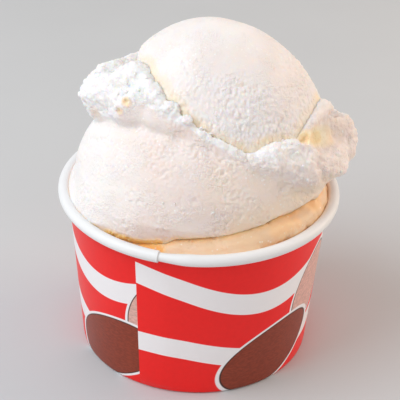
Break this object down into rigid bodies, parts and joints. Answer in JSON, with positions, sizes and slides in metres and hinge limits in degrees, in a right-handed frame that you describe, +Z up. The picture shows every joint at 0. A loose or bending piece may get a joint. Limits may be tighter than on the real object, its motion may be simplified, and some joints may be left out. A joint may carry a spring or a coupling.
{
  "type": "gelato cup",
  "caption": "Printed paper cup filled with custard-coloured gelato, with pale scoops piled on it and a torn, craggy edge where they meet.",
  "frame": {"origin": "at the level of the cup's foot, under the middle of the whole outline, which is 2.4 mm to the right of the cup's own axis", "axes": "+Z up along the cup's axis; -Y towards the front, from which the side seam is 26 degrees to the left; +X to the right, where the craggy edge overhangs the rim"},
  "size_m": [0.0968, 0.092, 0.1122],
  "materials": {
    "printed_board": "satin",
    "white_board": "matte",
    "custard_gelato": "satin",
    "white_gelato": "satin"
  },
  "bodies": {
    "root": {"cup_wall": "printed_board", "cup_bottom": "white_board", "gelato_fill": "custard_gelato", "scoop_lower": "white_gelato", "scoop_upper": "white_gelato"}
  },
  "joints": []
}
